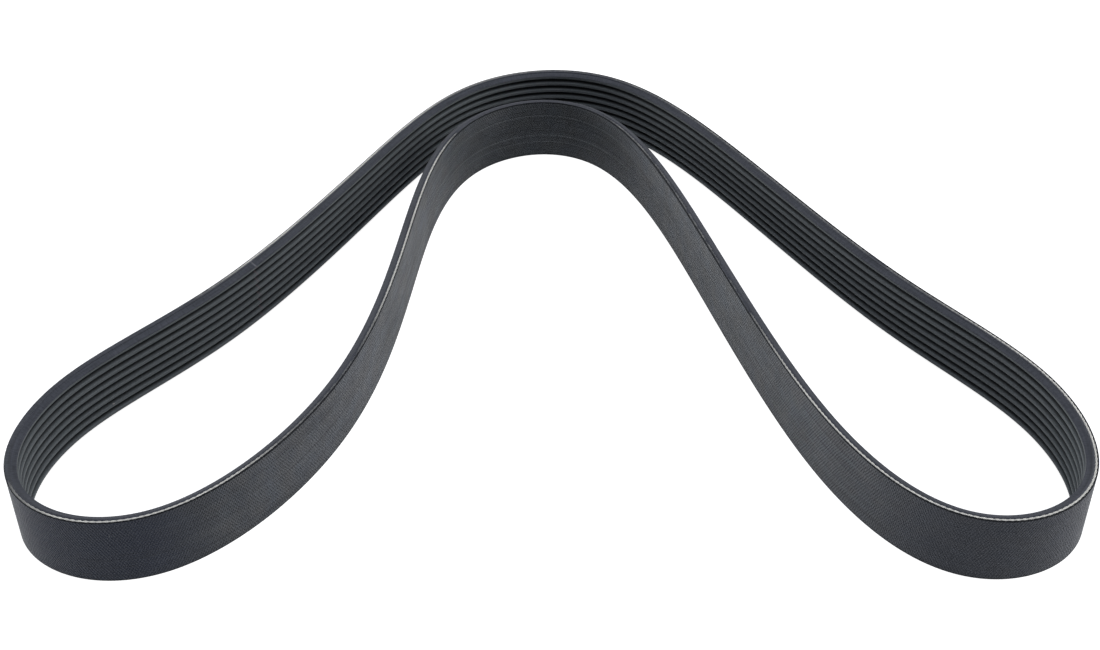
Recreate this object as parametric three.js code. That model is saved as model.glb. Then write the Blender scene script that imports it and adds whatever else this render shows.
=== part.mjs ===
// A serpentine belt: the endless multi-ribbed belt that drives an engine's
// alternator, pump and other accessories from the crankshaft.
//
// It is one moulded piece. Here it stands on its cut edge, off the engine, in the
// folded loop that a slack belt falls into: two round bends at the front, and the
// front strand pushed back until its hump nearly meets the strand behind it.
//
// Millimetres, +Z up. X runs along the loop, Y from its front to its back. The
// origin is the middle of the loop's box, on the surface that the belt stands on.

import * as THREE from 'three';

// The section across the belt. The ribs face the inside of the loop.
const RIB_COUNT = 8;
const RIB_PITCH = 3.56;        // from the middle of one rib to the next
const RIB_ANGLE = 40;          // degrees, between the two flanks of a groove
const RIB_TIP_WIDTH = 1.2;     // across a rib's tip, before its corners are rounded
const TIP_ROUNDING = 0.3;      // how far the rounding takes each tip corner back
const GROOVE_WIDTH = 0.7;      // across the bottom of a groove
const BODY_THICKNESS = 2.0;    // fabric back, cords and cushion, down to the grooves
const CORD_DEPTH = 1.0;        // from the fabric back to the middle of the cords

// The length round the loop, which a belt keeps at its cords however it is bent.
const BELT_LENGTH = 1450;

// The plan of the fold, as the control points of a closed curve along the cords.
// They go anticlockwise and give the shape alone: BELT_LENGTH sets the size.
const FOLD = [
  [-34.5, -41.4], [-18.2, -20.1], [-15.1, 7.5],                 // front strand, left
  [-11.7, 30.2], [6.9, 34.3],                                   // hump
  [15.7, 6.9], [24.9, -27.6],                                   // front strand, right
  [36.6, -41.1], [50.9, -35.7], [49.6, -18.5],                  // right bend
  [35.9, -4.9], [22.3, 19.2],                                   // back strand, right
  [8.7, 40.3], [-10.3, 38.0],                                   // crown of the back strand
  [-20.0, 20.2], [-33.8, -6.2],                                 // back strand, left
  [-49.3, -18.7], [-51.4, -35.6],                               // left bend
];

// How closely the steps of the sweep follow the curve.
const TURN_PER_STEP = 12;      // degrees, where the belt bends
const STEP_LENGTH = 36;        // where it runs straight
const CURVE_SAMPLES = 3600;    // points that the curve is measured with

// A closed uniform cubic B-spline. Its direction and its curvature have no jumps,
// as in a springy strip, and it lies inside the polygon of its control points.
class FoldCurve extends THREE.Curve {
  constructor(points) {
    super();
    this.points = points;
  }

  blend(t, weightsAt, target) {
    const count = this.points.length;
    const place = t * count;
    const span = Math.floor(place);
    target.set(0, 0, 0);
    weightsAt(place - span).forEach((weight, k) => {
      target.addScaledVector(this.points[(span + k) % count], weight / 6);
    });
    return target;
  }

  getPoint(t, target = new THREE.Vector3()) {
    const weights = (u) => [
      (1 - u) ** 3,
      3 * u ** 3 - 6 * u ** 2 + 4,
      -3 * u ** 3 + 3 * u ** 2 + 3 * u + 1,
      u ** 3,
    ];
    return this.blend(t, weights, target);
  }

  getTangent(t, target = new THREE.Vector3()) {
    const slopes = (u) => [
      -3 * (1 - u) ** 2,
      9 * u ** 2 - 12 * u,
      -9 * u ** 2 + 6 * u + 3,
      3 * u ** 2,
    ];
    return this.blend(t, slopes, target).normalize();
  }
}

// The fold at its real size: its length along the cords is BELT_LENGTH.
function foldCurve() {
  const sketch = FOLD.map(([x, y]) => new THREE.Vector3(x, y, 0));
  const length = new FoldCurve(sketch).getLengths(CURVE_SAMPLES).at(-1);
  return new FoldCurve(sketch.map((point) => point.multiplyScalar(BELT_LENGTH / length)));
}

// Curve parameters of the sweep's steps, close together where the belt bends and
// far apart where it runs straight.
function stepPlaces(curve) {
  const turn = THREE.MathUtils.degToRad(TURN_PER_STEP);
  const effort = [0];
  for (let i = 1; i <= CURVE_SAMPLES; i += 1) {
    const from = (i - 1) / CURVE_SAMPLES;
    const to = i / CURVE_SAMPLES;
    const bent = curve.getTangent(from).angleTo(curve.getTangent(to));
    const run = curve.getPoint(from).distanceTo(curve.getPoint(to));
    effort.push(effort[i - 1] + bent / turn + run / STEP_LENGTH);
  }
  const total = effort[CURVE_SAMPLES];
  const steps = Math.ceil(total);
  const places = [];
  let sample = 0;
  for (let step = 0; step < steps; step += 1) {
    const wanted = (total * step) / steps;
    while (effort[sample + 1] < wanted) sample += 1;
    const share = (wanted - effort[sample]) / (effort[sample + 1] - effort[sample]);
    places.push((sample + share) / CURVE_SAMPLES);
  }
  return places;
}

// The section's outline, as [depth below the fabric back, height], anticlockwise
// when it is seen along the belt. The belt's blank was cut at the middle of a
// groove, so each edge keeps half a groove beside its first rib.
function sectionOutline() {
  const slope = Math.tan(THREE.MathUtils.degToRad(RIB_ANGLE / 2));
  const flankWidth = (RIB_PITCH - RIB_TIP_WIDTH - GROOVE_WIDTH) / 2;
  const thickness = BODY_THICKNESS + flankWidth / slope;
  const halfTip = RIB_TIP_WIDTH / 2;
  const halfRoot = halfTip + flankWidth;
  const roundingAlongFlank = TIP_ROUNDING * slope;
  const width = RIB_COUNT * RIB_PITCH;

  const outline = [[0, 0], [BODY_THICKNESS, 0]];
  for (let rib = 0; rib < RIB_COUNT; rib += 1) {
    const middle = (rib + 0.5) * RIB_PITCH;
    outline.push(
      [BODY_THICKNESS, middle - halfRoot],
      [thickness - TIP_ROUNDING, middle - halfTip - roundingAlongFlank],
      [thickness, middle - halfTip + TIP_ROUNDING],
      [thickness, middle + halfTip - TIP_ROUNDING],
      [thickness - TIP_ROUNDING, middle + halfTip + roundingAlongFlank],
      [BODY_THICKNESS, middle + halfRoot],
    );
  }
  outline.push([BODY_THICKNESS, width], [0, width]);
  return outline;
}

// Sweeps the section round the closed curve. The loop runs anticlockwise, so its
// outside, where the fabric back lies, is to the right of its direction.
function sweptRing(curve, outline) {
  const positions = [];
  const places = stepPlaces(curve);
  for (const place of places) {
    const middle = curve.getPoint(place);
    const along = curve.getTangent(place);
    const outward = new THREE.Vector3(along.y, -along.x, 0);
    for (const [depth, height] of outline) {
      const point = middle.clone().addScaledVector(outward, CORD_DEPTH - depth);
      positions.push(point.x, point.y, height);
    }
  }

  const corners = outline.length;
  const indices = [];
  for (let step = 0; step < places.length; step += 1) {
    const here = step * corners;
    const next = ((step + 1) % places.length) * corners;
    for (let corner = 0; corner < corners; corner += 1) {
      const after = (corner + 1) % corners;
      indices.push(here + corner, here + after, next + corner);
      indices.push(here + after, next + after, next + corner);
    }
  }

  const geometry = new THREE.BufferGeometry();
  geometry.setAttribute('position', new THREE.Float32BufferAttribute(positions, 3));
  geometry.setIndex(indices);
  return geometry;
}

// Moves the loop so that the middle of its box, at its foot, is the origin.
function centred(geometry) {
  geometry.computeBoundingBox();
  const middle = geometry.boundingBox.getCenter(new THREE.Vector3());
  geometry.translate(-middle.x, -middle.y, 0);
  geometry.computeVertexNormals();
  return geometry;
}

const rubber = new THREE.MeshStandardMaterial({
  name: 'rubber',
  color: 0x34373d,
  roughness: 0.72,
  metalness: 0,
});

const belt = new THREE.Mesh(centred(sweptRing(foldCurve(), sectionOutline())), rubber);
belt.name = 'belt';

const serpentineBelt = new THREE.Group();
serpentineBelt.name = 'serpentine_belt';
serpentineBelt.add(belt);

export default serpentineBelt;
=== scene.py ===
# %% [markdown]
# A serpentine belt, standing on its edge
#
# The object is the long ribbed belt that drives the alternator, the pump and the
# other accessories of a car's engine. Off the engine it is slack, and it stands on
# one cut edge in a folded loop. Its shape is simple: one section swept round one
# closed curve. Its look is in five finishes, each left by one step of its making:
# ribs that were ground, edges that were slit, the dark line of the cut fabric ply, a
# back that carries the imprint of a fabric, and the cord that the knife laid open.
#
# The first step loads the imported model, which gives every size its frame.

import math

import bmesh
import bpy
import numpy as np
from mathutils import Matrix, Vector, noise


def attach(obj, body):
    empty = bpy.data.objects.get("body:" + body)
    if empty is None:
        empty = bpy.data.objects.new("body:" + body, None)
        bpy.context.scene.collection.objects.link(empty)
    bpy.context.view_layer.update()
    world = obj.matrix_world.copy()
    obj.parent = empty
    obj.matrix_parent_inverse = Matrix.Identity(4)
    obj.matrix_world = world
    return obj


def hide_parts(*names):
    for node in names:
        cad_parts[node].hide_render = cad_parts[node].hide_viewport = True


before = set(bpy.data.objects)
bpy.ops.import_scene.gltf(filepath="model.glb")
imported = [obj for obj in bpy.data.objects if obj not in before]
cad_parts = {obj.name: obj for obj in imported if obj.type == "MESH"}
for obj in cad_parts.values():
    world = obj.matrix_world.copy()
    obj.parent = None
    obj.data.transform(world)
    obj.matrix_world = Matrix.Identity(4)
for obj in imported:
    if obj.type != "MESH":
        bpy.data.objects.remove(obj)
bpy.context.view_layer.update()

# %% [markdown]
# The sizes of the section
#
# Ribbed belts of this kind are made to one standard: the ribs stand 3.56 mm apart
# and their flanks meet at 40 degrees, so that they seat in the pulley's grooves.
# Depths are measured from the back of the belt, inwards.

# %% Section sizes
MM = 0.001
RIB_COUNT = 8
RIB_PITCH = 3.56 * MM
RIB_ANGLE = math.radians(40)
RIB_TIP_WIDTH = 1.2 * MM
GROOVE_WIDTH = 0.7 * MM
BODY_THICKNESS = 2.0 * MM
CORD_DEPTH = 1.0 * MM
BELT_LENGTH = 1450 * MM

belt_width = RIB_COUNT * RIB_PITCH
flank_width = (RIB_PITCH - RIB_TIP_WIDTH - GROOVE_WIDTH) / 2
belt_thickness = BODY_THICKNESS + flank_width / math.tan(RIB_ANGLE / 2)
print(f"width {belt_width / MM:.2f} mm, thickness {belt_thickness / MM:.2f} mm")

# %% [markdown]
# The fold, as one closed curve
#
# A slack belt is a springy strip, so its plan has no corners and no sudden change of
# curvature. A closed cubic B-spline behaves in the same way: eighteen control points
# pull it into shape and it stays smooth by itself. The points give the shape alone,
# and the length of the belt along its cords, which never stretch, sets the size.

# %% The fold's control points
FOLD = np.array([
    (-34.5, -41.4), (-18.2, -20.1), (-15.1, 7.5),    # front strand, left
    (-11.7, 30.2), (6.9, 34.3),                      # hump
    (15.7, 6.9), (24.9, -27.6),                      # front strand, right
    (36.6, -41.1), (50.9, -35.7), (49.6, -18.5),     # right bend
    (35.9, -4.9), (22.3, 19.2),                      # back strand, right
    (8.7, 40.3), (-10.3, 38.0),                      # crown of the back strand
    (-20.0, 20.2), (-33.8, -6.2),                    # back strand, left
    (-49.3, -18.7), (-51.4, -35.6),                  # left bend
])
print("control points:", len(FOLD))

# %% The curve that they pull into shape
CURVE_SAMPLES = 14400


def curve_weights(u):
    """Six times the share of each of four control points, a part u of the way along."""
    return (1 - u) ** 3, 3 * u**3 - 6 * u**2 + 4, -3 * u**3 + 3 * u**2 + 3 * u + 1, u**3


def slope_weights(u):
    """How fast those shares change there."""
    return -3 * (1 - u) ** 2, 9 * u**2 - 12 * u, -9 * u**2 + 6 * u + 3, 3 * u**2


def blended(weights_at):
    """Mixes each four neighbouring control points, all the way round the curve."""
    place = np.linspace(0, len(FOLD), CURVE_SAMPLES + 1)
    span = np.floor(place).astype(int)
    weights = weights_at(place - span)
    near = [FOLD[(span + k) % len(FOLD)] for k in range(4)]
    return sum(weight[:, None] * points for weight, points in zip(weights, near)) / 6


curve = blended(curve_weights)
slope = blended(slope_weights)
heading = np.unwrap(np.arctan2(slope[:, 1], slope[:, 0]))
print("whole turns round the loop:", round((heading[-1] - heading[0]) / math.tau))

# %% The curve at its real size, centred on the origin
run = np.append(0, np.cumsum(np.hypot(*np.diff(curve, axis=0).T)))
scale = BELT_LENGTH / run[-1]
curve *= scale
run *= scale

# The loop's box is measured on the back, its outermost side.
back_line = curve + CORD_DEPTH * np.stack([np.sin(heading), -np.cos(heading)], 1)
curve -= (back_line.min(0) + back_line.max(0)) / 2
print("plan of the fold, in mm:", np.round(np.ptp(back_line, axis=0) / MM, 2))

# %% [markdown]
# Places along the belt
#
# Everything that follows is placed by its distance round the loop. Three short
# functions turn such a distance into a point of the cord line, into the direction
# that faces out of the loop there, and into a point of the belt itself.

# %% From a distance along the belt to a place in the plan
def middle_at(along):
    """Points on the cord line, as rows of x and y."""
    return np.stack([np.interp(along, run, curve[:, 0]), np.interp(along, run, curve[:, 1])], 1)


def outward_at(along):
    """Unit vectors that face out of the loop."""
    turned = np.interp(along, run, heading)
    return np.stack([np.sin(turned), -np.cos(turned)], 1)


def points_at(along, depth, height):
    """Points of the belt: how far along, how deep below the back, and how high."""
    plan = middle_at(along) + outward_at(along) * (CORD_DEPTH - depth)[:, None]
    return np.column_stack([plan, height])


start = points_at(np.zeros(1), np.zeros(1), np.zeros(1))[0]
print("distances start on the back at, in mm:", np.round(start / MM, 1))

# %% [markdown]
# The camera
#
# The belt's two edges are known curves a known distance apart, so they tell where
# the photograph was taken from: a little over half a metre in front of the loop,
# looking down at about 39 degrees, through a lens of ordinary length.

# %% Camera
CAMERA_PLACE = (-0.28 * MM, -554.14 * MM, 441.22 * MM)
CAMERA_PITCH = math.radians(38.909)
CAMERA_ROLL = math.radians(-0.273)
CAMERA_LENS = 55.83            # millimetres, like the sensor
CAMERA_SENSOR = 36

camera_data = bpy.data.cameras.new("photo_camera")
camera_data.sensor_width = CAMERA_SENSOR
camera_data.lens = CAMERA_LENS
camera = bpy.data.objects.new("photo_camera", camera_data)
tilt = Matrix.Rotation(math.radians(90) - CAMERA_PITCH, 4, "X")
roll = Matrix.Rotation(CAMERA_ROLL, 4, "Z")
camera.matrix_world = Matrix.Translation(CAMERA_PLACE) @ tilt @ roll
bpy.context.scene.collection.objects.link(camera)
bpy.context.scene.camera = camera
print("camera at", [round(x, 3) for x in camera.location])

# %% [markdown]
# Colours and nodes
#
# A colour picked from a screen is an sRGB value, while Blender mixes light in linear
# values, so each hex colour goes through one conversion. One more helper adds a
# shader node, sets it and joins it up. It takes a whole node where a link is wanted,
# which keeps a material's recipe readable.

# %% Helpers for colour and nodes
def colour(hex_value):
    """'#rrggbb' as the linear red, green, blue and alpha that a shader wants."""
    srgb = [int(hex_value[k:k + 2], 16) / 255 for k in (1, 3, 5)]
    linear = [c / 12.92 if c <= 0.04045 else ((c + 0.055) / 1.055) ** 2.4 for c in srgb]
    return (*linear, 1.0)


def put(tree, kind, sockets=None, **settings):
    """Adds a node, sets it and joins it up.

    A socket's value is a number, a colour, an output to link, or a node, which stands
    for the first of its outputs that is in use.
    """
    made = tree.nodes.new(kind)
    for name, value in settings.items():
        setattr(made, name, value)
    for name, value in (sockets or {}).items():
        if isinstance(value, bpy.types.Node):
            value = next(output for output in value.outputs if output.enabled)
        if isinstance(value, bpy.types.NodeSocket):
            tree.links.new(value, made.inputs[name])
        else:
            made.inputs[name].default_value = value
    return made


def empty_material(name):
    """A new material that has no nodes yet."""
    made = bpy.data.materials.new(name)
    made.use_nodes = True
    made.node_tree.nodes.clear()
    return made


print("mid grey, #808080, in linear light:", round(colour("#808080")[0], 3))

# %% [markdown]
# The floor and the air
#
# The belt stands on a plain pale sweep of paper. The paper takes the belt's soft
# shadow and throws a good share of the light back up, which keeps the ribs as light
# at the foot as at the top. A glow that only the camera and the reflections see lifts
# the rest of it to white. The air round it is white in the same way, and it lights
# the belt next to nothing.

# %% Floor
FLOOR_SIZE = 12.0

plane = bmesh.new()
bmesh.ops.create_grid(plane, x_segments=8, y_segments=8, size=FLOOR_SIZE / 2)
floor_mesh = bpy.data.meshes.new("studio_floor")
plane.to_mesh(floor_mesh)
plane.free()
floor = bpy.data.objects.new("studio_floor", floor_mesh)
bpy.context.scene.collection.objects.link(floor)
print("floor:", FLOOR_SIZE, "m square")

# %% Pale paper
WHITE = (1, 1, 1, 1)
FLOOR_SHADE = "#c8c8c8"
FLOOR_GLOW = 0.93


def seen_or_reflected(tree):
    """1 for rays that see the studio, straight, mirrored or through glass, and 0 for light."""
    rays = put(tree, "ShaderNodeLightPath")
    seen = rays.outputs["Is Camera Ray"]
    for kind in ("Is Glossy Ray", "Is Transmission Ray"):
        seen = put(tree, "ShaderNodeMath", {0: seen, 1: rays.outputs[kind]}, operation="MAXIMUM")
    return seen


paper = empty_material("pale_paper_sweep")
tree = paper.node_tree
glow = put(tree, "ShaderNodeMath", {0: seen_or_reflected(tree), 1: FLOOR_GLOW}, operation="MULTIPLY")
surface = put(tree, "ShaderNodeBsdfDiffuse", {"Color": colour(FLOOR_SHADE)})
light = put(tree, "ShaderNodeEmission", {"Color": WHITE, "Strength": glow})
both = put(tree, "ShaderNodeAddShader", {0: surface, 1: light})
put(tree, "ShaderNodeOutputMaterial", {"Surface": both})
floor_mesh.materials.append(paper)
print(f"{paper.name}: {len(tree.nodes)} nodes")

# %% White air
AMBIENT = 0.02

world = bpy.data.worlds.new("studio_air")
world.use_nodes = True
tree = world.node_tree
tree.nodes.clear()
seen = seen_or_reflected(tree)
strength = put(tree, "ShaderNodeMapRange", {"Value": seen, "To Min": AMBIENT, "To Max": 1.0})
air = put(tree, "ShaderNodeBackground", {"Color": WHITE, "Strength": strength})
put(tree, "ShaderNodeOutputWorld", {"Surface": air})
bpy.context.scene.world = world
bpy.context.scene.view_settings.view_transform = "Standard"
print(f"{world.name}: {len(tree.nodes)} nodes")

# %% [markdown]
# The lamps
#
# Most of the light comes from soft boxes that stand on both sides, and the rest from a
# wide one overhead. So the strips that face the sides are the lightest, and those that
# face the camera the darkest.

# %% Soft boxes
def soft_box(name, place, size, watts, tint="#ffffff"):
    """A rectangular lamp, whose two sides are in metres, turned to face the origin."""
    data = bpy.data.lights.new(name, "AREA")
    data.shape = "RECTANGLE"
    data.size, data.size_y = size
    data.energy = watts
    data.color = colour(tint)[:3]
    lamp = bpy.data.objects.new(name, data)
    lamp.location = place
    lamp.rotation_euler = (-Vector(place)).to_track_quat("-Z", "Y").to_euler()
    bpy.context.scene.collection.objects.link(lamp)


soft_box("overhead_box", (0.0, -0.12, 1.2), (1.0, 1.5), 8.4, "#f0f4ff")
soft_box("left_box", (-1.15, 0.6, 0.2), (0.8, 0.34), 9.8)
soft_box("right_box", (1.25, 0.25, 0.5), (1.0, 0.8), 9.5)

# %% [markdown]
# Where the cord shows
#
# Under its back the belt holds one long polyester cord, wound round it in a helix
# with turns about a millimetre apart. The slitting knife runs almost in line with
# that cord, so along each edge it meets one turn: here it cuts that turn clean open,
# there it only skims it, and elsewhere it leaves it buried. The first two lists say
# how bare the cord is at some distances along the belt, in mm: 0 is buried, 1 is cut
# clean open. The third says how far it has wandered away from the back, in mm.

# %% How bare the cord is, and how it wanders
TOP_BARE = [
    (0, 0.1), (22, 0.15), (48, 0.6), (62, 0.95), (140, 1), (160, 0.6), (178, 0),
    (252, 0), (265, 0.22), (285, 0.22), (292, 0.1), (300, 0.16), (374, 0.16), (378, 0),
    (384, 0), (388, 0.15), (394, 0.1), (398, 0), (404, 0), (412, 0.15), (428, 0.5),
    (445, 0.8), (465, 1), (645, 1), (675, 0.8), (698, 0.45), (712, 0.2), (731, 0.2),
    (735, 0), (742, 0), (746, 0.2), (875, 0.25), (905, 0.15), (925, 0.1), (940, 0.15),
    (1000, 0.45), (1030, 0.9), (1145, 1), (1160, 0.5), (1182, 0), (1292, 0),
    (1300, 0.15), (1312, 0.5), (1328, 1), (1385, 1), (1400, 0.65), (1412, 0.3), (1450, 0.1),
]
BOTTOM_BARE = [
    (0, 0), (105, 0), (130, 0.9), (455, 0.9), (490, 0.35), (712, 0.3), (722, 0),
    (795, 0), (835, 1), (1105, 1), (1135, 0), (1236, 0), (1250, 0.35), (1450, 0),
]
CORD_SHIFTS = [
    (0, 0.02), (75, -0.1), (130, -0.12), (200, 0), (320, 0.1), (400, 0.05), (450, -0.12),
    (520, 0), (600, 0.13), (700, 0.2), (860, 0.25), (930, -0.05), (1020, -0.13),
    (1140, -0.1), (1200, 0), (1350, -0.1), (1395, 0.2), (1450, 0.02),
]
print("places given:", len(TOP_BARE), len(BOTTOM_BARE), len(CORD_SHIFTS))

# %% [markdown]
# Between those places
#
# Between two places of a list the values run evenly. A knife and a wound cord are
# never that even, so some soft noise is added. Its seeds are fixed, so that every run
# of this script makes the same belt.

# %% Soft noise round the loop
UNEVEN = 0.16                  # how much the bareness varies by itself
UNEVEN_LENGTH = 4 * MM
UNEVEN_SEED = 7.0
DRIFT = 0.04 * MM              # how far the cord wanders by itself
DRIFT_LENGTH = 14 * MM


def wandering(along, length, seed):
    """Soft noise from -1 to 1 that closes on itself round the loop."""
    angle = along / BELT_LENGTH * math.tau
    reach = BELT_LENGTH / math.tau / length
    ways = [noise.noise(Vector((math.cos(a) * reach, math.sin(a) * reach, seed))) for a in angle]
    return np.array(ways)


print("the noise at the start of the belt:", wandering(np.zeros(1), DRIFT_LENGTH, 1).round(2))

# %% Bareness and wandering at any distance along the belt
OPEN_FROM = 0.15               # the channel is fully open where the cord is this bare


def bareness(along, knots):
    """How bare the cord is at each distance along the belt."""
    places, amounts = np.array(knots, float).T
    bare = np.interp(along, places * MM, amounts)
    uneven = UNEVEN * wandering(along, UNEVEN_LENGTH, UNEVEN_SEED) * (bare > 0)
    return np.clip(bare + uneven, 0, 1)


def cord_shift(along, side):
    """How far the cord of one edge has wandered away from the back. The side is its seed."""
    places, shifts = np.array(CORD_SHIFTS).T * MM
    return np.interp(along, places, shifts) + DRIFT * wandering(along, DRIFT_LENGTH, side)


def opened(bare):
    """How far the channel has opened and the cord has risen into it."""
    share = np.clip(bare / OPEN_FROM, 0, 1)
    return share * share * (3 - 2 * share)


measured = np.arange(0, BELT_LENGTH, MM)
print(f"top edge: bare cord on {100 * (bareness(measured, TOP_BARE) > 0.5).mean():.0f}% of its length")

# %% [markdown]
# The section's outline
#
# The belt's blank is wide, and it is slit at the middle of a groove, so each edge
# keeps half a groove beside its first rib. The grinding wheel leaves small round
# corners on the tips and at the bottom of the grooves. The outline lists only the
# corners: a helper replaces each with an arc. A shallow channel in each edge holds
# the cord where the knife has opened it.

# %% Round the corners of an outline
ARC_STEPS = 3


def rounded(corners):
    """Corners are (depth, height, radius, finish, ...). Finish is that of the side that follows."""
    outline = []
    for k, (depth, height, radius, *traits) in enumerate(corners):
        here = Vector((depth, height))
        if radius == 0:
            outline.append((depth, height, *traits))
            continue
        back = (Vector(corners[k - 1][:2]) - here).normalized()
        onward = (Vector(corners[(k + 1) % len(corners)][:2]) - here).normalized()
        half = back.angle(onward) / 2
        centre = here + (back + onward).normalized() * radius / math.sin(half)
        spoke = here + back * radius / math.tan(half) - centre
        turn = math.copysign(math.pi - 2 * half, onward.cross(back))
        for step in range(ARC_STEPS + 1):
            point = centre + Matrix.Rotation(turn * step / ARC_STEPS, 2) @ spoke
            outline.append((point.x, point.y, *traits))
    return outline


elbow = [(0, 0, 0, 0), (1, 0, 0.2, 0), (1, 1, 0, 0)]
print("points on one rounded corner:", len(rounded(elbow)) - 2)

# %% Sizes of the corners and of the opened cord
RIBS, EDGE, FABRIC_EDGE, BACK = range(4)    # finishes, in the order of the belt's materials
TIP_RADIUS = 0.32 * MM
GROOVE_RADIUS = 0.22 * MM
CUT_RADIUS = 0.09 * MM         # both corners that the knife left
FABRIC_THICKNESS = 0.3 * MM    # how far the cut ply's dark line reaches into the edge
EDGE_LINE = 0.5 * MM           # how far that line reaches onto the back
EDGE_CORD_DEPTH = 0.78 * MM    # from the back to the middle of the opened cord
CORD_DIAMETER = 0.96 * MM
CHANNEL_WIDTH = 1.02 * MM
CHANNEL_DEPTH = 0.42 * MM
print(f"edge cord: {CORD_DIAMETER / MM:.2f} mm thick, {EDGE_CORD_DEPTH / MM:.2f} mm below the back")

# %% Corners of a cut edge
def edge_corners(height, side):
    """One cut edge, from the back inwards. Side is 1 where the belt lies above it.

    The last two numbers are that side for corners that wander with the cord, and how
    deep they sink where the channel has opened.
    """
    half = CHANNEL_WIDTH / 2
    # Across the channel and down into it, as shares of half its width and of its depth.
    channel = [(-1.0, 0), (-0.8, 0.8), (0.0, 1.0), (0.8, 0.8), (1.0, 0)]
    lips = [(EDGE_CORD_DEPTH + across * half, height, 0, EDGE, side, deep) for across, deep in channel]
    return [
        (0, height + side * EDGE_LINE, 0, FABRIC_EDGE, 0, 0),
        (0, height, CUT_RADIUS, FABRIC_EDGE, 0, 0),
        (FABRIC_THICKNESS, height, 0, EDGE, side, 0),
        *lips,
        (BODY_THICKNESS, height, CUT_RADIUS, RIBS, 0, 0),
    ]


print("corners of a cut edge:", len(edge_corners(0, 1)))

# %% Corners of a rib
def rib_corners(middle):
    """The four corners of one rib, from its lower groove to its upper one."""
    half_tip = RIB_TIP_WIDTH / 2
    half_root = half_tip + flank_width
    return [
        (BODY_THICKNESS, middle - half_root, GROOVE_RADIUS, RIBS, 0, 0),
        (belt_thickness, middle - half_tip, TIP_RADIUS, RIBS, 0, 0),
        (belt_thickness, middle + half_tip, TIP_RADIUS, RIBS, 0, 0),
        (BODY_THICKNESS, middle + half_root, GROOVE_RADIUS, RIBS, 0, 0),
    ]


print("corners of a rib:", len(rib_corners(0)))

# %% The outline of this belt
corners = edge_corners(0, 1)
for rib in range(RIB_COUNT):
    corners += rib_corners((rib + 0.5) * RIB_PITCH)

# The upper edge is listed backwards, so each of its corners takes the finish of the next.
top = edge_corners(belt_width, -1)[::-1]
following = [corner[3] for corner in top[1:]] + [BACK]
corners += [(*corner[:3], finish, *corner[4:]) for corner, finish in zip(top, following)]
outline = rounded(corners)
print("section points:", len(outline))

# %% [markdown]
# Steps round the fold
#
# The section is swept round the fold in steps. They lie close together in the bends
# and further apart on the straighter runs, so that the curves stay round without
# wasting faces.

# %% Steps of the sweep
TURN_PER_STEP = math.radians(2.35)
LONGEST_STEP = 4.6 * MM

bent = np.append(0, np.cumsum(np.abs(np.diff(heading))))
effort = bent / TURN_PER_STEP + run / LONGEST_STEP
count = math.ceil(effort[-1])
along = np.interp(np.arange(count) * effort[-1] / count, effort, run)
print("steps:", count)

# %% [markdown]
# The unrolled belt
#
# Each face gets its place on the unrolled belt, as distance along it and girth round
# the section. The finishes are drawn in those coordinates, because every tool that
# made the real surface ran along the belt or across it. The distances start at the
# splice, where the sleeve that the belt was cut from was joined, so that no pattern
# breaks anywhere else.

# %% A closed tube, with its coordinates on the unrolled belt
SPLICE_PLACE = 1144 * MM


def ring_mesh(name, along, rings, girth, finishes):
    """Joins rings of points into one closed tube. Finishes has one number for each side."""
    count, around = rings.shape[:2]
    i, j = [grid.ravel() for grid in np.meshgrid(np.arange(count), np.arange(around), indexing="ij")]
    ahead, beside = (i + 1) % count, (j + 1) % around
    four = [i * around + j, i * around + beside, ahead * around + beside, ahead * around + j]
    faces = np.stack(four, 1)
    mesh = bpy.data.meshes.new(name)
    mesh.from_pydata(rings.reshape(-1, 3).tolist(), [], faces.tolist())
    ends = np.append(along, BELT_LENGTH)
    lap = np.where(ends[:-1] < SPLICE_PLACE, BELT_LENGTH, 0)[i]
    start, end = ends[i] + lap - SPLICE_PLACE, ends[i + 1] + lap - SPLICE_PLACE
    u = np.stack([start, start, end, end], 1)
    v = np.stack([girth[j], girth[j + 1], girth[j + 1], girth[j]], 1)
    layer = mesh.uv_layers.new(name="unrolled")
    layer.uv.foreach_set("vector", np.stack([u, v], 2).ravel().astype(np.float32))
    mesh.polygons.foreach_set("material_index", np.asarray(finishes, np.int32)[j])
    mesh.polygons.foreach_set("use_smooth", np.ones(len(faces), bool))
    return mesh


print("splice at, in mm:", np.round(middle_at([SPLICE_PLACE])[0] / MM))

# %% [markdown]
# The swept belt
#
# Each point of the outline becomes a line round the loop. Those of the channel wander
# with the cord, and sink only where the knife has opened it. The outer flanks of the
# first and the last rib get the finish of the slit edge. How deep each point lies in
# its groove is kept with the mesh, for the painted shade in the ribs' grooves.

# %% Points of the belt
channel_open = {-1: opened(bareness(along, TOP_BARE)), 1: opened(bareness(along, BOTTOM_BARE))}
channel_shift = {side: cord_shift(along, side) for side in (-1, 1)}
rings = []
for depth, height, finish, side, deep in outline:
    place = np.full_like(along, depth), np.full_like(along, height)
    if side:
        sunk = side * deep * channel_open[side] * CHANNEL_DEPTH
        place = depth + channel_shift[side], height + sunk
    rings.append(points_at(along, *place))
rings = np.stack(rings, 1)
print("rings of the belt:", len(rings), "of", rings.shape[1], "points")

# %% Girth and finishes round the section
flat = np.array([point[:2] for point in outline])
girth = np.append(0, np.cumsum(np.hypot(*(np.roll(flat, -1, 0) - flat).T)))
finishes = np.array([point[2] for point in outline])
# The outer flanks of the end ribs take the edge's finish, and none of the ribs' painted groove shade.
outermost = np.abs(flat[:, 1] - belt_width / 2) > (belt_width - RIB_PITCH) / 2
outer_flank = outermost & np.roll(outermost, -1) & (finishes == RIBS)
finishes = np.where(outer_flank, EDGE, finishes)
print(f"girth {girth[-1] / MM:.1f} mm")

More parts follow.
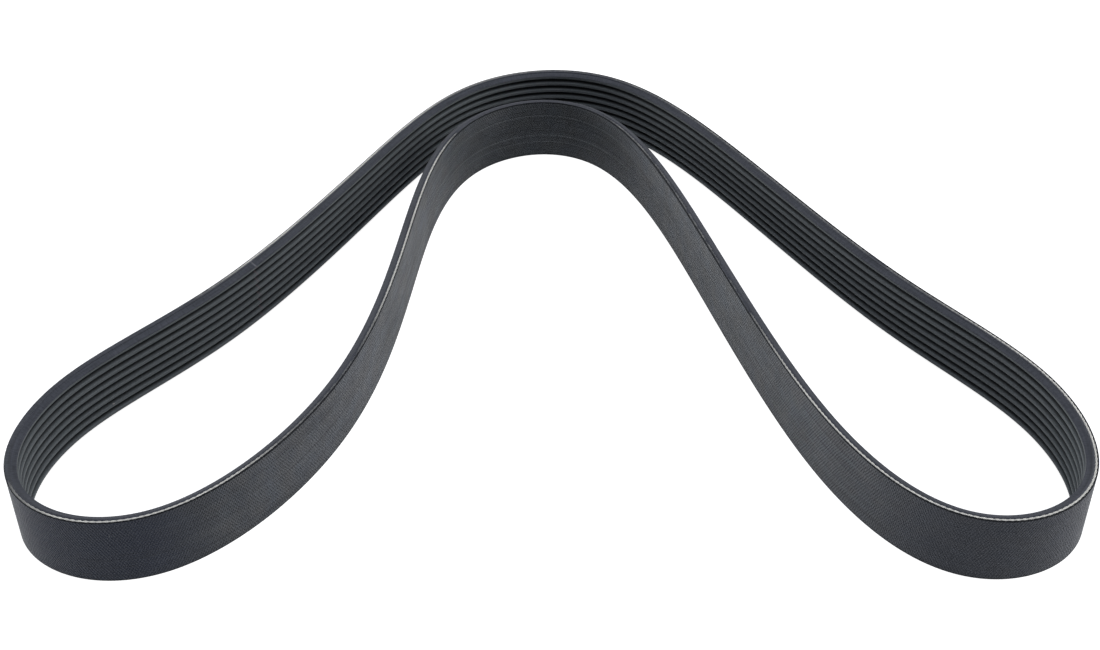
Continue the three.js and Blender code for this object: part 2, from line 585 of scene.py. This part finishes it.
# %% The belt
belt_mesh = ring_mesh("ribbed_belt", along, rings, girth, finishes)
# How deep each point lies in its groove, 0 at a tip and 1 at the bottom: it sets the painted groove shade.
into_groove = np.clip((belt_thickness - flat[:, 0]) / (belt_thickness - BODY_THICKNESS), 0, 1)
layer = belt_mesh.attributes.new("into_groove", "FLOAT", "POINT")
layer.data.foreach_set("value", np.tile(into_groove, len(along)).astype(np.float32))
belt = bpy.data.objects.new("ribbed_belt", belt_mesh)
bpy.context.scene.collection.objects.link(belt)
print(f"{belt.name}: {2 * len(belt_mesh.polygons)} triangles")

# %% [markdown]
# Flat sides that stay flat
#
# Smooth shading bends the light across every face. On this section that is only right
# at its rounded corners, so a weighted normal modifier lets each large flat side keep
# its own direction and gives the whole turn to the small corner faces.

# %% Weight the normals
FLAT_SIDE_WEIGHT = 90          # 50 is neutral, and more favours the large faces

weighting = belt.modifiers.new("flat_sides", "WEIGHTED_NORMAL")
weighting.mode = "FACE_AREA"
weighting.weight = FLAT_SIDE_WEIGHT
print("modifier:", weighting.name)

# %% [markdown]
# The rubber, and patterns in millimetres
#
# The whole belt is EPDM, a synthetic rubber filled with carbon black. Its IOR is about
# 1.5, and all of its surfaces here are too uneven for a clear highlight: what gloss
# they have is weak and a little blue. Every pattern is drawn on the unrolled belt, in
# millimetres. A noise changes about once for each unit that it is given, so 2 turns
# for each millimetre draw lines about half a millimetre apart.

# %% What the rubber finishes share
RUBBER = {"IOR": 1.52, "Specular Tint": (0.80, 0.88, 1.0, 1.0)}


def unrolled_mm(tree):
    """A place on the unrolled belt, in mm: along it, and round the section."""
    unrolled = put(tree, "ShaderNodeUVMap", uv_map="unrolled")
    return put(tree, "ShaderNodeVectorMath", {0: unrolled, 1: [1 / MM] * 3}, operation="MULTIPLY")


print("rubber:", RUBBER)

# %% [markdown]
# The splice, and single marks
#
# Where the sleeve was joined, two thin lines cross the belt. The scuffs, specks and
# smudges of this one belt are each drawn as an oval with a soft edge, because a noise
# wouldn't put them where they are.

# %% Lines of the splice
SPLICE_LINES = (0.8, 3.1)      # mm along the belt


def splice_lines(tree, in_mm):
    """The two thin lines that the splice leaves across the belt, as a factor from 0 to 1."""
    along = put(tree, "ShaderNodeSeparateXYZ", {0: in_mm}).outputs["X"]
    lines = []
    for place in SPLICE_LINES:
        away = put(tree, "ShaderNodeMath", {0: along, 1: place}, operation="SUBTRACT")
        away = put(tree, "ShaderNodeMath", {0: away}, operation="ABSOLUTE")
        lines.append(put(tree, "ShaderNodeMapRange", {
            "Value": away, "From Min": 0.15, "From Max": 0.45, "To Min": 1.0, "To Max": 0.0,
        }))
    return put(tree, "ShaderNodeMath", {0: lines[0], 1: lines[1]}, operation="MAXIMUM")


print("splice lines:", len(SPLICE_LINES))

# %% Single marks
def marks_of(tree, in_mm, marks):
    """How strong the strongest mark is at each point.

    A mark is given by its middle along the belt, its place round the section, its half
    length and its half width, all in mm, and its strength.
    """
    strongest = 0.0
    for place, across, half_length, half_width, amount in marks:
        middle = ((place - SPLICE_PLACE / MM) % (BELT_LENGTH / MM), across, 0)
        shrink = (1 / half_length, 1 / half_width, 0)
        away = put(tree, "ShaderNodeVectorMath", {0: in_mm, 1: middle}, operation="SUBTRACT")
        away = put(tree, "ShaderNodeVectorMath", {0: away, 1: shrink}, operation="MULTIPLY")
        far = put(tree, "ShaderNodeVectorMath", {0: away}, operation="LENGTH")
        mark = put(tree, "ShaderNodeMapRange", {
            "Value": far, "From Min": 0.4, "From Max": 1.0, "To Min": amount, "To Max": 0.0,
        }, interpolation_type="SMOOTHSTEP")
        strongest = put(tree, "ShaderNodeMath", {0: strongest, 1: mark}, operation="MAXIMUM")
    return strongest


def tip_girth(height):
    """Where the rib tip nearest to a height lies round the section, in mm."""
    away = np.hypot(flat[:, 0] - belt_thickness, flat[:, 1] - height * MM)
    return girth[np.argmin(away)] / MM


RIB_SPECKS = [(1224, tip_girth(7.0), 0.6, 0.4, 0.9), (795, tip_girth(15.0), 0.5, 0.4, 0.9)]
print("specks on the ribs, round the section, in mm:", [round(mark[1], 1) for mark in RIB_SPECKS])

# %% [markdown]
# The ribs: ground EPDM
#
# The ribs aren't moulded but ground out of a plain blank by a profiled wheel. That
# leaves a velvety matt face, with faint lines along the belt and a paler speck
# wherever one of the short fibres in the rubber was cut. The wheel's grit is about
# 0.2 mm, which is too fine to show, so its lines are drawn about 0.45 mm apart. One
# noise stretched along the belt makes them, and an even one adds the grain.

# %% Ground EPDM: lines, grain and fibres
GRINDING_TURNS = (0.03, 2.2, 1)    # for each mm, along the belt and round the section
GRAIN_TURNS = 1.6
FIBRE_TURNS = (0.9, 1.6, 1)

ground = empty_material("ground_epdm")
tree = ground.node_tree
in_mm = unrolled_mm(tree)
lines_at = put(tree, "ShaderNodeVectorMath", {0: in_mm, 1: GRINDING_TURNS}, operation="MULTIPLY")
lines = put(tree, "ShaderNodeTexNoise", {"Vector": lines_at, "Scale": 1.0, "Detail": 4.0})
grain = put(tree, "ShaderNodeTexNoise", {"Vector": in_mm, "Scale": GRAIN_TURNS, "Detail": 3.0})
mixed = put(tree, "ShaderNodeMath", {0: lines, 1: grain}, operation="ADD")
fibres_at = put(tree, "ShaderNodeVectorMath", {0: in_mm, 1: FIBRE_TURNS}, operation="MULTIPLY")
fibres = put(tree, "ShaderNodeTexVoronoi", {"Vector": fibres_at, "Scale": 1.0})
fleck = put(tree, "ShaderNodeMapRange", {
    "Value": fibres.outputs["Distance"], "From Min": 0.05, "From Max": 0.16, "To Min": 1.0, "To Max": 0.0,
})
print(f"grinding lines about {1 / GRINDING_TURNS[1]:.2f} mm apart")

# %% [markdown]
# Pale tips, and painted shade in the grooves
#
# The rubber of the ribs is a matt grey at the tips. Towards the bottom of each groove,
# where the ribs beside it shade it, the colour is painted down to near black as
# painted shade. Each gets two tones for the grain to vary between, and the depth in
# the groove mixes them.

# %% Ground EPDM: its tones, with painted shade in the grooves
tone = put(tree, "ShaderNodeMapRange", {"Value": mixed, "From Min": 0.7, "From Max": 1.3})
# The near-black tones of a groove's bottom are painted shade.
deep = put(tree, "ShaderNodeMix", {
    "Factor": tone, "A": colour("#1b1d1e"), "B": colour("#282a2b"),
}, data_type="RGBA")
tip_tone = put(tree, "ShaderNodeMix", {
    "Factor": tone, "A": colour("#585c5e"), "B": colour("#707577"),
}, data_type="RGBA")
inward = put(tree, "ShaderNodeAttribute", attribute_name="into_groove")
# Painted shade: the colour runs from the tips' grey to near black at the bottom of each groove.
unshaded_share = put(tree, "ShaderNodeMapRange", {
    "Value": inward.outputs["Fac"], "From Min": 0.12, "From Max": 0.68, "To Min": 1.0, "To Max": 0.0,
}, interpolation_type="SMOOTHSTEP")
rubber = put(tree, "ShaderNodeMix", {"Factor": unshaded_share, "A": deep, "B": tip_tone}, data_type="RGBA")
faint = put(tree, "ShaderNodeMath", {0: fleck, 1: 0.35}, operation="MULTIPLY")
rubber = put(tree, "ShaderNodeMix", {
    "Factor": faint, "A": rubber, "B": colour("#7a7876"),
}, data_type="RGBA")
print(f"{ground.name}: {len(tree.nodes)} nodes so far")

# %% Ground EPDM: specks, splice and skin
specks = marks_of(tree, in_mm, RIB_SPECKS)
rubber = put(tree, "ShaderNodeMix", {
    "Factor": specks, "A": rubber, "B": colour("#b0aeaa"),
}, data_type="RGBA")
joined = put(tree, "ShaderNodeMath", {0: splice_lines(tree, in_mm), 1: 0.6}, operation="MULTIPLY")
rubber = put(tree, "ShaderNodeMix", {
    "Factor": joined, "A": rubber, "B": colour("#74666a"),
}, data_type="RGBA")
relief = put(tree, "ShaderNodeBump", {"Height": mixed, "Distance": 0.05 * MM, "Strength": 0.7})
skin = put(tree, "ShaderNodeBsdfPrincipled", {
    "Base Color": rubber, "Roughness": 0.62, "Specular IOR Level": 0.2, "Normal": relief, **RUBBER,
})
put(tree, "ShaderNodeOutputMaterial", {"Surface": skin})
print(f"{ground.name}: {len(tree.nodes)} nodes")

# %% [markdown]
# The edges: slit EPDM
#
# A rotating knife slits the wide sleeve into belts. Its chatter leaves fine strokes
# across the edge, and the fresh cut is a little smoother and bluer than the ground
# ribs. The strokes are drawn about 0.6 mm apart, near the finest that the picture can
# show, and a second noise smears the rubber along the edge. The outer flank of the
# first and the last rib lies open beside the edge, with no rib beside it to shade it,
# so it takes the edge's finish and none of the ribs' painted groove shade.

# %% Slit EPDM: strokes and smears
STROKE_TURNS = (1.7, 0.35, 1)      # for each mm, along the belt and round the section
SMEAR_TURNS = (0.05, 0.9, 1)

slit = empty_material("slit_epdm")
tree = slit.node_tree
in_mm = unrolled_mm(tree)
strokes_at = put(tree, "ShaderNodeVectorMath", {0: in_mm, 1: STROKE_TURNS}, operation="MULTIPLY")
strokes = put(tree, "ShaderNodeTexNoise", {
    "Vector": strokes_at, "Scale": 1.0, "Detail": 3.0, "Roughness": 0.6,
})
smear_at = put(tree, "ShaderNodeVectorMath", {0: in_mm, 1: SMEAR_TURNS}, operation="MULTIPLY")
smear = put(tree, "ShaderNodeTexNoise", {"Vector": smear_at, "Scale": 1.0, "Detail": 3.0})
mixed = put(tree, "ShaderNodeMath", {0: strokes, 1: smear}, operation="ADD")
print(f"strokes about {1 / STROKE_TURNS[0]:.1f} mm apart")

# %% Slit EPDM: tones and skin
tone = put(tree, "ShaderNodeMapRange", {"Value": mixed, "From Min": 0.7, "From Max": 1.3})
rubber = put(tree, "ShaderNodeMix", {
    "Factor": tone, "A": colour("#36383d"), "B": colour("#505259"),
}, data_type="RGBA")
joined = put(tree, "ShaderNodeMath", {0: splice_lines(tree, in_mm), 1: 0.5}, operation="MULTIPLY")
rubber = put(tree, "ShaderNodeMix", {
    "Factor": joined, "A": rubber, "B": colour("#8a8c90"),
}, data_type="RGBA")
relief = put(tree, "ShaderNodeBump", {"Height": strokes, "Distance": 0.08 * MM, "Strength": 0.8})
skin = put(tree, "ShaderNodeBsdfPrincipled", {
    "Base Color": rubber, "Roughness": 0.52, "Specular IOR Level": 0.15, "Normal": relief, **RUBBER,
})
put(tree, "ShaderNodeOutputMaterial", {"Surface": skin})
print(f"{slit.name}: {len(tree.nodes)} nodes")

# %% [markdown]
# The line at the edge: cut fabric ply
#
# Over the cords lies a thin ply of fabric that was filled with rubber. Where the
# knife cut it, it shows as a dark, dull line in the edge. The ends of its threads are
# about 0.7 mm apart, and only just show. The same dark finish is drawn on a narrow
# band of the back beside each edge, darker than the rest of the back.

# %% Cut fabric ply
PLY_TURNS = (1.4, 0.3, 1)          # for each mm, along the belt and round the section

ply = empty_material("cut_fabric_ply")
tree = ply.node_tree
threads_at = put(tree, "ShaderNodeVectorMath", {0: unrolled_mm(tree), 1: PLY_TURNS}, operation="MULTIPLY")
threads = put(tree, "ShaderNodeTexNoise", {"Vector": threads_at, "Scale": 1.0, "Detail": 2.0})
rubber = put(tree, "ShaderNodeMix", {
    "Factor": threads, "A": colour("#0e0f11"), "B": colour("#222427"),
}, data_type="RGBA")
skin = put(tree, "ShaderNodeBsdfPrincipled", {
    "Base Color": rubber, "Roughness": 0.7, "Specular IOR Level": 0.12, **RUBBER,
})
put(tree, "ShaderNodeOutputMaterial", {"Surface": skin})
print(f"{ply.name}: {len(tree.nodes)} nodes")

# %% [markdown]
# The back: EPDM with the imprint of a fabric
#
# While the belt was cured, a fabric was wound round it, and its weave is pressed
# into the rubber. Its threads lean to both sides, at about 59 degrees to the belt's
# length. On the real belt they lie about 0.8 mm apart. They are drawn a little
# coarser here, because the picture has only two or three dots to a millimetre. Each
# family of threads is one sine wave, and a slow noise nudges both, since no thread
# was wound quite straight. Rubber pressed like this takes a closed skin, so the back
# is a little glossier than the ground ribs.

# %% Fabric-imprinted EPDM: its weave
THREAD_SPACING = 0.98              # mm
THREAD_ANGLE = math.radians(59)
WAVER_TURNS = 0.25                 # for each mm
NUDGE = (0.9, 0.9, 0)              # mm

imprint = empty_material("fabric_imprinted_epdm")
tree = imprint.node_tree
in_mm = unrolled_mm(tree)
waver = put(tree, "ShaderNodeTexNoise", {"Vector": in_mm, "Scale": WAVER_TURNS, "Detail": 1.0})
nudge = put(tree, "ShaderNodeVectorMath", {0: waver.outputs["Color"], 1: NUDGE}, operation="MULTIPLY")
woven_at = put(tree, "ShaderNodeVectorMath", {0: in_mm, 1: nudge}, operation="ADD")
families = []
for lean in (1, -1):
    across = Vector((math.sin(THREAD_ANGLE), lean * math.cos(THREAD_ANGLE), 0)) * math.tau / THREAD_SPACING
    phase = put(tree, "ShaderNodeVectorMath", {0: woven_at, 1: across}, operation="DOT_PRODUCT")
    families.append(put(tree, "ShaderNodeMath", {0: phase}, operation="SINE"))
threads = put(tree, "ShaderNodeMath", {0: families[0], 1: families[1]}, operation="ADD")
weave = put(tree, "ShaderNodeMapRange", {"Value": threads, "From Min": -2.0, "From Max": 2.0})
print(f"threads {THREAD_SPACING} mm apart, at {math.degrees(THREAD_ANGLE):.0f} degrees")

# %% [markdown]
# Tones of the back
#
# The wrapping also leaves faint lines along the belt, a millimetre or two apart, and
# the tone drifts from place to place. One noise drawn out along the belt gives the
# lines: its crests are pale ridges and its hollows are dark furrows. The drift of the
# tone comes from a noise with large patches, and so does a cast that makes some
# places warmer and others bluer.

# %% Fabric-imprinted EPDM: its tones
STREAK_TURNS = (0.012, 0.95, 1)    # for each mm, along the belt and round the section
PATCH_TURNS = 0.06
CAST_TURNS = 0.11

streaks_at = put(tree, "ShaderNodeVectorMath", {0: in_mm, 1: STREAK_TURNS}, operation="MULTIPLY")
streaks = put(tree, "ShaderNodeTexNoise", {
    "Vector": streaks_at, "Scale": 1.0, "Detail": 5.0, "Roughness": 0.7,
})
lined = put(tree, "ShaderNodeMapRange", {"Value": streaks, "From Min": 0.35, "From Max": 0.65})
patches = put(tree, "ShaderNodeTexNoise", {"Vector": in_mm, "Scale": PATCH_TURNS, "Detail": 5.0})
shade = put(tree, "ShaderNodeMath", {0: lined, 1: 0.75, 2: patches}, operation="MULTIPLY_ADD")
shade = put(tree, "ShaderNodeMath", {0: weave, 1: 0.45, 2: shade}, operation="MULTIPLY_ADD")
tone = put(tree, "ShaderNodeMapRange", {"Value": shade, "From Min": 0.625, "From Max": 1.525})
rubber = put(tree, "ShaderNodeMix", {
    "Factor": tone, "A": colour("#27292b"), "B": colour("#6b6e70"),
}, data_type="RGBA")
cast = put(tree, "ShaderNodeTexNoise", {"Vector": in_mm, "Scale": CAST_TURNS, "Detail": 2.0})
cast = put(tree, "ShaderNodeMapRange", {"Value": cast, "From Min": 0.35, "From Max": 0.65})
hue = put(tree, "ShaderNodeMix", {
    "Factor": cast, "A": (1.04, 1.0, 0.98, 1), "B": (0.95, 1.0, 1.1, 1),
}, data_type="RGBA")
rubber = put(tree, "ShaderNodeMix", {
    "Factor": 1.0, "A": rubber, "B": hue,
}, data_type="RGBA", blend_type="MULTIPLY")
print(f"lines of the back about {1 / STREAK_TURNS[1]:.1f} mm apart")

# %% Fabric-imprinted EPDM: furrows and ridges
furrows = put(tree, "ShaderNodeMapRange", {
    "Value": streaks, "From Min": 0.33, "From Max": 0.44, "To Min": 0.6, "To Max": 0.0,
})
rubber = put(tree, "ShaderNodeMix", {
    "Factor": furrows, "A": rubber, "B": colour("#1a1c1f"),
}, data_type="RGBA")
ridges = put(tree, "ShaderNodeMapRange", {"Value": streaks, "From Min": 0.56, "From Max": 0.68})
pale = put(tree, "ShaderNodeMath", {0: ridges, 1: 0.4}, operation="MULTIPLY")
rubber = put(tree, "ShaderNodeMix", {
    "Factor": pale, "A": rubber, "B": colour("#7b7d80"),
}, data_type="RGBA")
print(f"{imprint.name}: {len(tree.nodes)} nodes so far")

# %% [markdown]
# Marks on the back
#
# At the hump and in both bends the skin is plainer, with fainter lines. On the fronts
# of both bends, which face the camera, a darker bluish tint is painted shade. Paler
# patches on both bends are painted light. The long pale marks are scuffs at the hump,
# the short pale ones are specks of lint, and the dark ones are smudges near the edges.
# Heights on the back are easier to read off than girths, so the lists give heights.

# %% Fabric-imprinted EPDM: its marks
MID_HEIGHT = 14.2                  # mm, the middle of the back
PAST_EDGES = 60                    # mm, a half width that covers the back from edge to edge
PLAIN_MARKS = [
    (221, MID_HEIGHT, 80, PAST_EDGES, 0.5), (1336, MID_HEIGHT, 60, PAST_EDGES, 0.45),
    (545, MID_HEIGHT, 90, PAST_EDGES, 0.35),
]
# Painted shade: a darker bluish tint on the fronts of both bends, which face the camera.
BLUE_SHADE_MARKS = [(1336, MID_HEIGHT, 48, PAST_EDGES, 0.55), (556, MID_HEIGHT, 62, PAST_EDGES, 0.28)]
# Painted light: paler patches on both bends.
LIGHT_PATCH_MARKS = [(1428, 12, 85, PAST_EDGES, 0.1), (530, 14, 115, PAST_EDGES, 0.14)]
PALE_MARKS = [
    (221, 21.3, 85, 0.34, 0.6), (228, 10.8, 90, 0.36, 0.7), (215, 7.3, 60, 0.32, 0.5),
    (221, 17.0, 0.35, 0.35, 1.0), (1342.6, 22.0, 0.4, 0.35, 1.0), (1344.2, 21.8, 0.35, 0.3, 0.9),
]
DARK_MARKS = [(485, 26.5, 6, 0.7, 0.6), (1405, 2.8, 10, 1.1, 0.5)]
print("marks on the back:", len(PLAIN_MARKS + BLUE_SHADE_MARKS + LIGHT_PATCH_MARKS + PALE_MARKS + DARK_MARKS))

# %% Fabric-imprinted EPDM: the marks mixed in
def on_the_back(marks):
    """The same marks, with the distance round the section in place of the height."""
    top_of_back = (girth[-1] + EDGE_LINE) / MM
    return [(place, top_of_back - height, *rest) for place, height, *rest in marks]


for marks, shade in (
    (PLAIN_MARKS, "#4e5051"),
    # painted bluish shade on the fronts of both bends
    (BLUE_SHADE_MARKS, "#2e344a"),
    # painted light: paler patches on both bends
    (LIGHT_PATCH_MARKS, "#8c8c92"),
    (PALE_MARKS, "#85888a"),
    (DARK_MARKS, "#1d1f22"),
):
    marked = marks_of(tree, in_mm, on_the_back(marks))
    rubber = put(tree, "ShaderNodeMix", {
        "Factor": marked, "A": rubber, "B": colour(shade),
    }, data_type="RGBA")
    print(len(marks), "marks of", shade)

# %% Fabric-imprinted EPDM: its skin
lift = put(tree, "ShaderNodeMath", {0: ridges, 1: 0.5, 2: weave}, operation="MULTIPLY_ADD")
relief = put(tree, "ShaderNodeBump", {"Height": lift, "Distance": 0.55 * MM, "Strength": 1.0})
skin = put(tree, "ShaderNodeBsdfPrincipled", {
    "Base Color": rubber, "Roughness": 0.5, "Specular IOR Level": 0.2, "Normal": relief, **RUBBER,
})
put(tree, "ShaderNodeOutputMaterial", {"Surface": skin})
print(f"{imprint.name}: {len(tree.nodes)} nodes")

# %% The belt's finishes, in the order of their numbers
for finish in (ground, slit, ply, imprint):
    belt_mesh.materials.append(finish)
print("finishes:", [finish.name for finish in belt_mesh.materials])

# %% [markdown]
# The cord along the edges
#
# The cord is made of three plies of polyester yarn, twisted together once in about
# 7 mm, so a stroke of yarn crosses it every 2.3 mm. It is swept like the belt, with
# a section of three lobes that turns as it goes. The knife has cut its top flat, so
# no point rises above the edge, and where it isn't bare it dives into the rubber.

# %% Sizes of the twisted cord
TWIST_LENGTH = 6.9 * MM        # one whole turn of its three plies
CORD_STEP = 0.46 * MM
CORD_POINTS = 16
PLY_DEPTH = 0.28               # half the depth between two plies, as a share of the radius
CUT_INTO = 0.55                # how far in from the edge its middle lies, as a share too
PLY_GAP_DEPTH = 0.12 * MM      # how far the cut face dips between two plies
BURIED_DEPTH = 0.5 * MM        # how much deeper it lies where it is buried
print(f"a stroke of yarn every {TWIST_LENGTH / 3 / MM:.1f} mm")

# %% Sweep the twisted cords
def twisted_cord(name, edge_height, side, knots):
    """A three-ply cord along one edge. Side is 1 where the belt lies above that edge."""
    twists = round(BELT_LENGTH / TWIST_LENGTH)
    steps = round(BELT_LENGTH / CORD_STEP)
    along = np.arange(steps) * BELT_LENGTH / steps
    bare = bareness(along, knots)
    middle = EDGE_CORD_DEPTH + cord_shift(along, side)
    flush = edge_height + side * CORD_DIAMETER / 2 * CUT_INTO
    centre = flush + side * (1 - opened(bare)) * BURIED_DEPTH
    rings, crests = [], []
    for k in range(CORD_POINTS):
        angle = math.tau * k / CORD_POINTS * side
        plies = np.cos(3 * angle - 3 * math.tau * twists * along / BELT_LENGTH)
        radius = CORD_DIAMETER / 2 * (1 - PLY_DEPTH + PLY_DEPTH * plies)
        height = centre + radius * math.sin(angle)
        lid = edge_height + side * PLY_GAP_DEPTH * (1 - plies) / 2
        height = np.maximum(height, lid) if side > 0 else np.minimum(height, lid)
        crests.append((1 + plies) / 2)
        rings.append(points_at(along, middle + radius * math.cos(angle), height))
    rings = np.stack(rings, 1)
    girth = np.linspace(0, math.pi * CORD_DIAMETER, CORD_POINTS + 1)
    mesh = ring_mesh(name, along, rings, girth, [0] * CORD_POINTS)
    for trait, values in ("bare", np.repeat(bare, CORD_POINTS)), ("crest", np.stack(crests, 1).ravel()):
        layer = mesh.attributes.new(trait, "FLOAT", "POINT")
        layer.data.foreach_set("value", values.astype(np.float32))
    made = bpy.data.objects.new(name, mesh)
    bpy.context.scene.collection.objects.link(made)
    print(f"{name}: {twists} twists, {2 * len(mesh.polygons)} triangles")
    return made


cords = [
    twisted_cord("edge_cord_top", belt_width, -1, TOP_BARE),
    twisted_cord("edge_cord_bottom", 0.0, 1, BOTTOM_BARE),
]

# %% [markdown]
# The cord: cut polyester yarn
#
# Polyester yarn is white with a soft, silky shine, and its IOR is about 1.57. Where
# the knife only skimmed it, black rubber stays smeared over it, so its colour runs
# from grey to white with how bare it is. The hollows between the plies stay dark. Its
# filaments are a few hundredths of a millimetre thick, far too fine to show, and are
# drawn about 0.2 mm apart.

# %% Cut polyester cord
FILAMENT_TURNS = (0.9, 5, 1)       # for each mm, along the belt and round the cord

yarn = empty_material("cut_polyester_cord")
tree = yarn.node_tree
fibres_at = put(tree, "ShaderNodeVectorMath", {0: unrolled_mm(tree), 1: FILAMENT_TURNS},
                operation="MULTIPLY")
fibres = put(tree, "ShaderNodeTexNoise", {"Vector": fibres_at, "Scale": 1.0, "Detail": 2.0})
clean = put(tree, "ShaderNodeMix", {
    "Factor": fibres, "A": colour("#e8e6dc"), "B": colour("#fffdf4"),
}, data_type="RGBA")
crest = put(tree, "ShaderNodeAttribute", attribute_name="crest")
ridge = put(tree, "ShaderNodeMapRange", {
    "Value": crest.outputs["Fac"], "From Min": 0.0, "From Max": 0.4, "To Min": 0.4, "To Max": 1.0,
}, interpolation_type="SMOOTHSTEP")
clean = put(tree, "ShaderNodeMix", {
    "Factor": ridge, "A": colour("#3c3c3e"), "B": clean,
}, data_type="RGBA")
bare = put(tree, "ShaderNodeAttribute", attribute_name="bare")
shown = put(tree, "ShaderNodeMapRange", {"Value": bare.outputs["Fac"], "From Min": 0.1, "From Max": 0.95})
fibre = put(tree, "ShaderNodeMix", {
    "Factor": shown, "A": colour("#55575a"), "B": clean,
}, data_type="RGBA")
relief = put(tree, "ShaderNodeBump", {"Height": fibres, "Distance": 0.05 * MM, "Strength": 0.8})
skin = put(tree, "ShaderNodeBsdfPrincipled", {
    "Base Color": fibre, "Roughness": 0.6, "IOR": 1.57, "Specular IOR Level": 0.3, "Normal": relief,
})
put(tree, "ShaderNodeOutputMaterial", {"Surface": skin})
for cord in cords:
    cord.data.materials.append(yarn)
print(f"{yarn.name}: {len(tree.nodes)} nodes")

# %% [markdown]
# Put the pieces on the frame
#
# The belt stands for the imported solid, and the two cord edges ride with it.

# %% Ride and replace
for piece in (belt, *cords):
    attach(piece, "root")
    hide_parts("belt")
